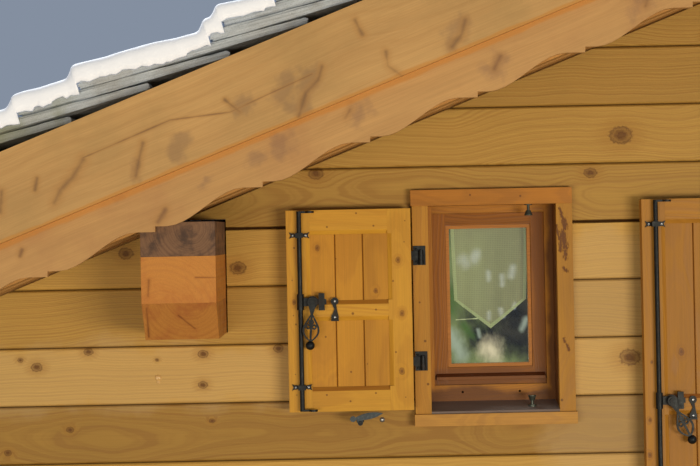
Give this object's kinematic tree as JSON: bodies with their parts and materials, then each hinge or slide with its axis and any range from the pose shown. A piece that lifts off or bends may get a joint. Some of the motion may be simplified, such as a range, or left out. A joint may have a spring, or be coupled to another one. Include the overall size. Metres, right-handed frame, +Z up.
{
  "type": "log chalet gable wall section with shuttered windows",
  "caption": "Section of a log chalet's gable wall, with shuttered windows, purlin ends on corbels, rafters, a scalloped verge and a stone slab roof edge.",
  "frame": {"origin": "the middle of the wall's foot, at mid-length and mid-thickness, on the flat underside of the lowest log", "axes": "+X runs along the wall up the roof's slope, +Y into the building, +Z up; the weather face looks along -Y"},
  "size_m": [3.65, 0.695, 3.5415],
  "materials": {
    "log_wood": "oiled squared larch logs",
    "shutter_wood": "oiled larch, golden",
    "trim_wood": "stained planed boards",
    "sash_wood": "dark stained window wood",
    "corbel_wood": "end grain, oiled",
    "red_corbel_wood": "reddish oiled wood",
    "weathered_wood": "weathered grey-brown",
    "roof_wood": "sawn spruce",
    "barge_wood": "planed larch, sun-bleached",
    "slab_stone": "split gneiss, rough",
    "window_glass": "clear",
    "curtain_fabric": "sheer voile, pale green",
    "brass": "satin",
    "black_iron": "blackened forged iron"
  },
  "bodies": {
    "wall_section": {"odd_log_courses": "log_wood", "even_log_courses": "log_wood", "purlins": "weathered_wood", "upper_corbels": "corbel_wood", "lower_corbels": "red_corbel_wood", "rafters": "roof_wood", "ceiling_boards": "roof_wood", "counter_rafters": "roof_wood", "roof_boards": "roof_wood", "barge_board": "barge_wood", "scalloped_board": "barge_wood", "verge_slabs": "slab_stone", "inner_slabs": "slab_stone", "casing_jambs": "trim_wood", "casing_heads": "trim_wood", "sill_boards": "sash_wood", "apron_boards": "trim_wood", "reveal_linings": "trim_wood", "window_frames": "trim_wood", "sashes": "sash_wood", "glazing_beads": "trim_wood", "glass_panes": "window_glass", "weather_bars": "sash_wood", "curtain": "curtain_fabric", "curtain_rod": "brass", "rod_catches": "black_iron", "hinge_pins": "black_iron", "stay_pins": "black_iron"},
    "small_shutter": {"small_shutter_stiles": "shutter_wood", "small_shutter_rails": "shutter_wood", "small_shutter_boards": "shutter_wood", "small_hinge_straps": "black_iron", "small_rod_guides": "black_iron"},
    "small_rod": {"small_locking_rod": "black_iron"},
    "small_pull": {"small_handle": "black_iron"},
    "small_keeper": {"small_stay": "black_iron"},
    "tall_shutter": {"tall_shutter_stiles": "shutter_wood", "tall_shutter_rails": "shutter_wood", "tall_shutter_boards": "shutter_wood", "tall_hinge_straps": "black_iron", "tall_rod_guides": "black_iron"},
    "tall_rod": {"tall_locking_rod": "black_iron"},
    "tall_pull": {"tall_handle": "black_iron"},
    "tall_keeper": {"tall_stay": "black_iron"}
  },
  "joints": [
    {"name": "small_shutter_swing", "type": "hinge", "parent": "wall_section", "child": "small_shutter", "pos_m": [-0.309, -0.114, 1.514], "axis": [0, 0, 1], "range_deg": [0, 180]},
    {"name": "small_rod_turn", "type": "hinge", "parent": "small_shutter", "child": "small_rod", "pos_m": [-0.723, -0.17, 1.514], "axis": [0, 0, 1], "range_deg": [-90, 0]},
    {"name": "small_handle_lift", "type": "hinge", "parent": "small_rod", "child": "small_pull", "pos_m": [-0.682, -0.185, 1.546], "axis": [0, -1, 0], "range_deg": [0, 90]},
    {"name": "small_stay_turn", "type": "hinge", "parent": "wall_section", "child": "small_keeper", "pos_m": [-0.528, -0.1615, 1.131], "axis": [0, -1, 0], "range_deg": [0, 28]},
    {"name": "tall_shutter_swing", "type": "hinge", "parent": "wall_section", "child": "tall_shutter", "pos_m": [1.037, -0.114, 1.171], "axis": [0, 0, 1], "range_deg": [0, 180]},
    {"name": "tall_rod_turn", "type": "hinge", "parent": "tall_shutter", "child": "tall_rod", "pos_m": [0.487, -0.17, 1.171], "axis": [0, 0, 1], "range_deg": [-90, 0]},
    {"name": "tall_handle_lift", "type": "hinge", "parent": "tall_rod", "child": "tall_pull", "pos_m": [0.528, -0.185, 1.187], "axis": [0, -1, 0], "range_deg": [-26, 64]},
    {"name": "tall_stay_turn", "type": "hinge", "parent": "wall_section", "child": "tall_keeper", "pos_m": [0.818, -0.1615, 0.431], "axis": [0, -1, 0], "range_deg": [0, 28]}
  ]
}
